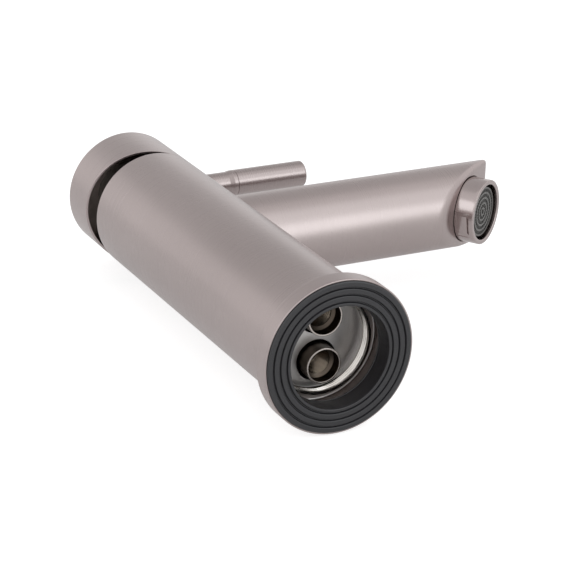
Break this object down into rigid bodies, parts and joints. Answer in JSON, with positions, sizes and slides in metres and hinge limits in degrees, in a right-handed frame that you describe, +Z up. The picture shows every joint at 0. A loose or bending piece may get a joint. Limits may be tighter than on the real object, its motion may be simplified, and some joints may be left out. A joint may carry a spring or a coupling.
{
  "type": "basin mixer tap",
  "caption": "Single-lever basin mixer tap: round column with a flared foot, straight round spout with a slanted end and aerator, and a cap handle with a straight pin lever.",
  "frame": {"origin": "centre of the gasket's ring face that sits on the basin's deck", "axes": "+Z up along the column's axis, the spout points along -Y, X runs across from the hot inlet to the cold inlet"},
  "size_m": [0.0532, 0.1507, 0.1731],
  "materials": {
    "satin_nickel": "satin brushed nickel",
    "rubber_black": "matt moulded rubber",
    "nickel_insert": "satin nickel plated brass",
    "pipe_brass": "dull brass",
    "core_brass": "machined brass",
    "seal_black": "smooth rubber",
    "ceramic_white": "lapped ceramic",
    "cartridge_plastic": "moulded plastic",
    "aerator_plastic": "smooth moulded plastic",
    "stainless": "plain stainless steel",
    "dome_black": "black moulded plastic",
    "zinc": "plain cast zinc alloy",
    "screw_black": "blackened steel",
    "index_red": "gloss red plastic"
  },
  "bodies": {
    "tap_body": {"body_tube": "satin_nickel", "base_gasket": "rubber_black", "foot_insert": "nickel_insert", "inlet_pipe_hot": "pipe_brass", "inlet_pipe_cold": "pipe_brass", "pipe_seals": "seal_black", "valve_core": "core_brass", "spout_nipple": "core_brass", "nipple_seal": "seal_black", "spout_root_plug": "core_brass", "spout_tube": "satin_nickel", "spout_end_plate": "satin_nickel", "aerator_housing": "satin_nickel", "aerator_washer": "seal_black", "aerator_insert": "aerator_plastic", "aerator_screen": "stainless", "cartridge_base": "cartridge_plastic", "cartridge_seals": "seal_black", "fixed_disc": "ceramic_white", "cartridge_housing": "cartridge_plastic", "retaining_nut": "core_brass", "dome_cover": "dome_black"},
    "turret": {"turret": "cartridge_plastic", "pivot_pin": "stainless"},
    "handle": {"lever_stem": "stainless", "handle_cap": "satin_nickel", "handle_hub": "zinc", "set_screw": "screw_black", "index_plug": "index_red", "lever_rod": "satin_nickel"},
    "mixing_disc": {"disc_carrier": "cartridge_plastic", "moving_disc": "ceramic_white"}
  },
  "joints": [
    {"name": "temperature_turn", "type": "hinge", "parent": "tap_body", "child": "turret", "pos_m": [0, 0, 0.141], "axis": [0, 0, 1], "range_deg": [-45, 45]},
    {"name": "lift", "type": "hinge", "parent": "turret", "child": "handle", "pos_m": [0, 0, 0.141], "axis": [-1, 0, 0], "range_deg": [0, 20]},
    {"name": "disc_slide", "type": "slide", "parent": "turret", "child": "mixing_disc", "axis": [0, -1, 0], "range_m": [0, 0.0042]}
  ],
  "couplings": [
    {"joint": "disc_slide", "follows": "lift", "m_per_rad": 0.011758}
  ]
}
